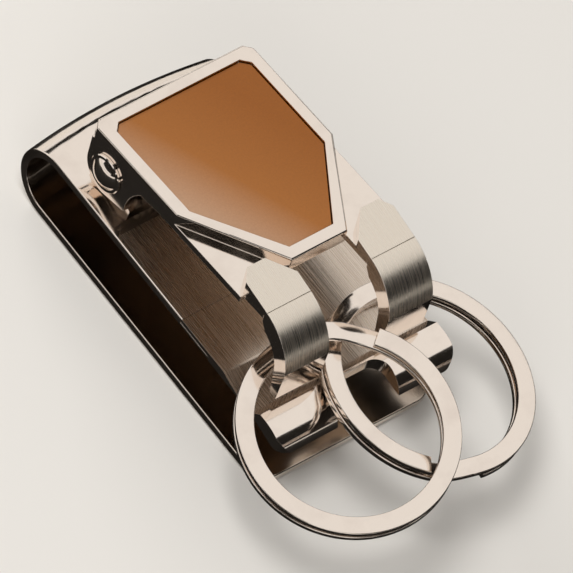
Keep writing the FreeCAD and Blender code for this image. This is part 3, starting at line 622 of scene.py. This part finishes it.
def makeHook(name, node, sign):
    s = hookSizes
    over = handling["over"]
    line = s["line"]
    profile = trace([
        (-s["top"], s["root"]), (-s["top"], s["level"]),
        (-s["crease"] + line, s["creaseLevel"] + s["slopeAbove"] * line),
        (-s["crease"], s["creaseLevel"] - line),
        (-s["crease"] - line, s["creaseLevel"] - s["slopeBelow"] * line, s["radius"], -1),
        (-s["side"], -s["sideLevel"]), (-s["side"] + s["sideStep"], -s["sideLevel"] - s["sideStep"]),
        (-s["tip"], -s["tipLevel"]), (-s["tip"] + s["tipWidth"], -s["tipLevel"]),
        (-s["side"] + s["thickness"], -s["sideLevel"] - s["tipDrop"], s["radius"] - s["thickness"], 1),
        (-s["heel"], s["heelLevel"]), (-s["tab"], s["tabFoot"]), (-s["tab"], s["root"])], s["steps"])
    low = sign * s["centre"] - s["width"] / 2
    obj = outlineSolid(name, profile, "YZ", low, low + s["width"])
    inner = s["centre"] - s["width"] / 2
    outer = s["centre"] + s["width"] / 2
    for edge, way, (width, drop) in ((inner, 1, s["innerClip"]), (outer, -1, s["outerClip"])):
        beyond = sign * (edge - way * over)
        within = sign * (edge + way * width)
        clip = [(beyond, -s["top"] + over), (within, -s["top"] + over), (within, -s["top"]),
                (sign * edge, -s["top"] - drop), (beyond, -s["top"] - drop)]
        cutter = outlineSolid("clipCutter", clip, "XY", s["root"] - over, s["level"] + over)
        combine(obj, cutter, "DIFFERENCE")

    def shoulder(middle):  # the long outer edges are well rounded, the rest only eased
        onSide = min(abs(abs(middle.x) - inner), abs(abs(middle.x) - outer)) < handling["same"]
        reach = math.hypot(middle.y + s["side"] - s["radius"], middle.z + s["sideLevel"])
        onCurl = reach > s["radius"] - s["curlDepth"] and middle.z > -s["sideLevel"]
        high = onCurl or middle.z > s["creaseLevel"] - s["creaseBand"]
        return 1.0 if onSide and high else s["fineEdge"] / s["edge"]

    softenEdges(obj, s["edge"], segments=4, weigh=shoulder)
    smoothFaces(obj)
    dress(obj, nickel, satin)
    for face in obj.data.polygons:  # the strap's broad outer face is brushed, its edges and tip stay polished
        y, z = face.center.y / mm, face.center.z / mm
        outward = face.normal.z > hookBrushing["upward"] or face.normal.y < -hookBrushing["forward"]
        broad = abs(face.normal.x) < hookBrushing["sideways"]
        if broad and outward and z > -s["sideLevel"] and y < -s["top"] + hookBrushing["topMm"]:
            face.material_index = 1
    tiltWithLever(obj)
    handOver(obj, "lever", node)


makeHook("leftHookStrap", "left_hook", -1)
makeHook("rightHookStrap", "right_hook", 1)


# split rings

ringSizes = {"radius": 15, "wire": 2.5, "thick": 0.85, "step": 1.29, "round": 0.16, "ramp": 26, "endGap": 3,
             "roundSteps": 3, "coilSteps": 120, "rampSteps": 12, "smooth": 40}
ringPlaces = {"leftSplitRing": {"node": "left_ring", "centre": (-7.43, -28.67, 13.9),
                                "roll": -8.1, "pitch": 6.3, "turn": 54},
              "rightSplitRing": {"node": "right_ring", "centre": (8.37, -26.71, 11.7),
                                 "roll": 6.7, "pitch": 5.7, "turn": 249}}


def makeRing(name, place):
    s = ringSizes
    half, cut = s["thick"] / 2, s["round"]
    inner, outer = s["radius"] - s["wire"], s["radius"]
    section = trace([
        (inner + cut, -half), (outer - cut, -half, cut, -1),
        (outer, -half + cut), (outer, half - cut, cut, -1),
        (outer - cut, half), (inner + cut, half, cut, -1),
        (inner, half - cut), (inner, -half + cut, cut, -1)], s["roundSteps"])
    clearSelection()
    bpy.ops.mesh.primitive_circle_add(vertices=len(section), radius=mm, fill_type="NGON")
    obj = bpy.context.object
    obj.name = name
    ramp = math.radians(s["ramp"])
    coil = 2 * math.pi - ramp - math.radians(s["endGap"])
    start = -ramp / 2 - coil
    for vertex, (r, z) in zip(obj.data.vertices, section):
        vertex.co = Vector((r * math.cos(start), r * math.sin(start), z - s["step"] / 2)) * mm
    bpy.ops.object.mode_set(mode="EDIT")
    bpy.ops.mesh.select_all(action="SELECT")
    bpy.ops.mesh.spin(steps=s["coilSteps"], angle=-coil, center=(0, 0, 0), axis=(0, 0, 1))
    steps = s["rampSteps"]
    heights = [s["step"] / 2 * math.sin(math.pi * (i / steps - 0.5)) for i in range(steps + 1)]
    for before, after in zip(heights, heights[1:]):  # the wire climbs from the lower coil to the upper
        bpy.ops.mesh.spin(steps=1, angle=-ramp / steps, center=(0, 0, 0), axis=(0, 0, 1))
        bpy.ops.transform.translate(value=(0, 0, (after - before) * mm))
    bpy.ops.mesh.spin(steps=s["coilSteps"], angle=-coil, center=(0, 0, 0), axis=(0, 0, 1))
    bpy.ops.mesh.select_all(action="SELECT")
    bpy.ops.mesh.normals_make_consistent(inside=False)
    bpy.ops.object.mode_set(mode="OBJECT")
    bpy.ops.object.shade_smooth_by_angle(angle=math.radians(s["smooth"]))
    roll, pitch, turn = (math.radians(place[way]) for way in ("roll", "pitch", "turn"))
    lean = Matrix.Rotation(roll, 3, "Y") @ Matrix.Rotation(pitch, 3, "X") @ Matrix.Rotation(turn, 3, "Z")
    obj.rotation_euler = lean.to_euler()
    obj.location = Vector(place["centre"]) * mm
    bpy.ops.object.transform_apply(location=True, rotation=True, scale=True)
    dress(obj, nickel)
    handOver(obj, place["node"], place["node"])


for ringName, ringPlace in ringPlaces.items():
    makeRing(ringName, ringPlace)


# pin heads

pinSizes = {"face": 13.3, "rim": 0.4, "head": 2.85, "dome": 2.3, "rise": 0.9, "ease": 0.12, "pin": 1.1,
            "socket": 0.8, "play": 0.02, "domeSteps": 12, "turnSteps": 64, "smooth": 35}


def makeTurned(name, node, profile):
    # a half outline (along the pin, radius) spun once round the pin's axis
    clearSelection()
    bpy.ops.mesh.primitive_circle_add(vertices=len(profile), radius=mm, fill_type="NOTHING")
    obj = bpy.context.object
    obj.name = name
    centre = Vector((0, leverSizes["pivotY"], leverSizes["pivotZ"])) * mm
    for vertex, (x, r) in zip(obj.data.vertices, profile):
        vertex.co = centre + Vector((x, 0, r)) * mm
    bpy.ops.object.mode_set(mode="EDIT")
    bpy.ops.mesh.select_all(action="SELECT")
    bpy.ops.mesh.spin(steps=pinSizes["turnSteps"], angle=2 * math.pi, center=centre, axis=(1, 0, 0))
    bpy.ops.mesh.select_all(action="SELECT")
    bpy.ops.mesh.remove_doubles(threshold=handling["merge"] * mm)
    bpy.ops.mesh.dissolve_degenerate(threshold=handling["sliver"] * mm)
    bpy.ops.mesh.normals_make_consistent(inside=False)
    bpy.ops.object.mode_set(mode="OBJECT")
    bpy.ops.object.shade_smooth_by_angle(angle=math.radians(pinSizes["smooth"]))
    dress(obj, nickel)
    handOver(obj, "clip", node)


def makePin():
    s = pinSizes
    ball = (s["dome"] ** 2 + s["rise"] ** 2) / (2 * s["rise"])
    face, head, ease = s["face"], s["head"], s["ease"]
    rim = face + s["rim"]
    end = face + s["socket"]
    pin = trace([(-rim - s["rise"], 0, ball, 1), (-rim, s["dome"]), (-rim, head - ease), (-rim + ease, head),
                 (-face, head), (-face, s["pin"]), (end, s["pin"]), (end, 0)], s["domeSteps"])
    makeTurned("pivotPin", "pivot_pin", pin)
    hole = s["pin"] + s["play"]
    bottom = end + s["play"]
    cap = trace([(bottom, 0), (bottom, hole), (face, hole), (face, head), (rim - ease, head),
                 (rim, head - ease), (rim, s["dome"], ball, 1), (rim + s["rise"], 0)], s["domeSteps"])
    makeTurned("pinCap", "pin_cap", cap)


makePin()


# torsion spring

springSizes = {"halfCoil": 3.67, "smooth": 40}


def makeSpring():
    # the coiled wire with its leg on the clip and its leg under the lever, copied from the CAD node and
    # smoothed
    s = springSizes
    obj = bpy.data.objects.new("torsionSpringWire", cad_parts["torsion_spring"].data.copy())
    bpy.context.scene.collection.objects.link(obj)
    pick(obj)
    bpy.ops.object.mode_set(mode="EDIT")
    bpy.ops.mesh.select_all(action="SELECT")
    bpy.ops.mesh.remove_doubles(threshold=handling["merge"] * mm)
    bpy.ops.object.mode_set(mode="OBJECT")
    bpy.ops.object.shade_smooth_by_angle(angle=math.radians(s["smooth"]))
    dress(obj, springSteel)
    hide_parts("torsion_spring")
    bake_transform(obj)
    print("made", obj.name, len(obj.data.polygons), "faces")


makeSpring()


# carried-over nodes keep their CAD shape and get their real finish
for nodeName, finish in {"pivot_bracket": nickel, "bracket_rivets": rivetSteel, "hook_rivets": rivetSteel,
                         "inlay_adhesive": film}.items():
    dress(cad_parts[nodeName], finish)
print("nodes finished")


# studio, in metres

studio = {"floor": "#DEDAD4", "floorSize": 4.0, "floorLevel": -0.0002, "floorRoughness": 0.9, "toothMm": 1.5,
          "toothDepthMm": 0.05, "toothStrength": 0.03, "background": "#EFECE8", "world": 0.35,
          "flag": "#1A1816", "aim": (0, -0.005, 0.012)}
lamps = {"keyLight": {"place": (-0.25, 0.1, 0.85), "size": (0.5, 0.4), "power": 5.0},
         "fillLight": {"place": (-0.6, -0.5, 0.45), "size": (0.4, 0.5), "power": 1.6},
         "rimLight": {"place": (0.15, 0.75, 0.4), "size": (0.6, 0.2), "power": 3.0}}
flags = {"leftFlag": {"place": (-0.7, 0.1, 0.25), "size": (0.9, 0.3)},
         "frontFlag": {"place": (0.35, -0.75, 0.3), "size": (1.5, 0.75)},
         "cornerFlag": {"place": (-0.62, -0.5, 0.08), "size": (0.7, 0.3)},
         "backFlag": {"place": (0.5, 0.8, 0.27), "size": (1.0, 0.2)},
         "rightFlag": {"place": (0.8, 0.0, 0.3), "size": (0.8, 0.3)},
         "highFlag": {"place": (-0.02, -0.53, 0.73), "size": (0.5, 0.3)},
         "cameraFlag": {"place": (-0.54, -0.19, 0.7), "size": (0.4, 0.4)},
         "backFloorFlag": {"place": (0.03, 0.041, -0.0001), "size": (0.11, 0.02)},
         "leftFloorFlag": {"place": (-0.07, 0, -0.0001), "size": (0.11, 0.16)},
         "rightFloorFlag": {"place": (0.07, 0.01, -0.0001), "size": (0.11, 0.08)},
         "frontFloorFlag": {"place": (0.0373, -0.083, -0.0001), "size": (0.106, 0.114)}}


def aimed(place, axis):
    # the turn that points an axis from a place to the object
    return (Vector(studio["aim"]) - Vector(place)).to_track_quat(axis, "Y").to_euler()


def makeFloor():
    # pale matt paper with a faint tooth
    clearSelection()
    bpy.ops.mesh.primitive_plane_add(size=studio["floorSize"], location=(0, 0, studio["floorLevel"]))
    floor = bpy.context.object
    floor.name = "studioFloor"
    material, tree, shader = newMaterial("paleStudioPaper")
    coords = addNode(tree, "ShaderNodeTexCoord")
    tooth = addNode(tree, "ShaderNodeTexNoise", {"Scale": 1 / (studio["toothMm"] * mm), "Detail": 3.0},
                    {"Vector": coords.outputs["Object"]})
    bump = addNode(tree, "ShaderNodeBump", {"Strength": studio["toothStrength"],
                                            "Distance": studio["toothDepthMm"] * mm},
                   {"Height": tooth.outputs["Fac"]})
    tree.links.new(bump.outputs["Normal"], shader.inputs["Normal"])
    shader.inputs["Base Color"].default_value = linear(studio["floor"])
    shader.inputs["Roughness"].default_value = studio["floorRoughness"]
    floor.data.materials.append(material)


def makeWorld():
    # a soft glow on the object, and plain pale surroundings for the camera and the metal to see
    world = bpy.data.worlds.new("studioWorld")
    bpy.context.scene.world = world
    world.use_nodes = True
    sky = world.node_tree
    back = sky.nodes["Background"]
    back.inputs["Color"].default_value = linear(studio["background"])
    back.inputs["Strength"].default_value = studio["world"]
    pale = addNode(sky, "ShaderNodeBackground", {"Color": linear(studio["background"]), "Strength": 1.0})
    rays = addNode(sky, "ShaderNodeLightPath")
    mirrored = addNode(sky, "ShaderNodeMath", {"operation": "MAXIMUM"},
                       {0: rays.outputs["Is Glossy Ray"], 1: rays.outputs["Is Transmission Ray"]})
    seen = addNode(sky, "ShaderNodeMath", {"operation": "MAXIMUM"},
                   {0: rays.outputs["Is Camera Ray"], 1: mirrored.outputs["Value"]})
    mix = addNode(sky, "ShaderNodeMixShader", links={0: seen.outputs["Value"], 1: back.outputs["Background"],
                                                     2: pale.outputs["Background"]})
    sky.links.new(mix.outputs["Shader"], sky.nodes["World Output"].inputs["Surface"])


def makeLamp(name, facts):
    lamp = bpy.data.lights.new(name, "AREA")
    lamp.shape = "RECTANGLE"
    lamp.size, lamp.size_y = facts["size"]
    lamp.energy = facts["power"]
    light = bpy.data.objects.new(name, lamp)
    bpy.context.scene.collection.objects.link(light)
    light.location = facts["place"]
    light.rotation_euler = aimed(facts["place"], "-Z")
    light.visible_glossy = False  # metal mirrors the pale room in place of the lamps


def makeFlag(name, facts, cloth):
    # a dark card that only the metal mirrors; those on the floor lie flat
    clearSelection()
    bpy.ops.mesh.primitive_plane_add(size=1)
    flag = bpy.context.object
    flag.name = name
    flag.scale = (*facts["size"], 1)
    flag.location = facts["place"]
    if facts["place"][2] > 0:
        flag.rotation_euler = aimed(facts["place"], "Z")
    flag.visible_camera = False
    flag.visible_diffuse = False
    flag.visible_shadow = False
    flag.data.materials.append(cloth)


def makeStudio():
    makeFloor()
    makeWorld()
    for name, facts in lamps.items():
        makeLamp(name, facts)
    cloth, _, shader = newMaterial("blackFlagCloth")  # matt black cloth, no shine
    shader.inputs["Base Color"].default_value = linear(studio["flag"])
    shader.inputs["Roughness"].default_value = 1.0
    for name, facts in flags.items():
        makeFlag(name, facts, cloth)
    print("studio ready")


makeStudio()

view = {"target": (0.29, -6.28, 12), "into": (0.505, 0.315, -0.802), "right": (0.765, -0.594, 0.248),
        "distance": 3.0, "seenMm": 74.4, "sensor": 36, "clipEnd": 20}


def makeCamera():
    into = Vector(view["into"]).normalized()
    right = Vector(view["right"])
    right = (right - into * right.dot(into)).normalized()
    up = right.cross(into)
    data = bpy.data.cameras.new("photoCamera")
    data.sensor_width = view["sensor"]
    data.lens = view["sensor"] * view["distance"] / (view["seenMm"] * mm)
    data.clip_end = view["clipEnd"]
    camera = bpy.data.objects.new("photoCamera", data)
    bpy.context.scene.collection.objects.link(camera)
    place = Vector(view["target"]) * mm - into * view["distance"]
    turn = Matrix((right, up, -into)).transposed()
    camera.matrix_world = Matrix.Translation(place) @ turn.to_4x4()
    bpy.context.scene.camera = camera


makeCamera()
bpy.context.scene.view_settings.view_transform = "Standard"
print("scene ready")
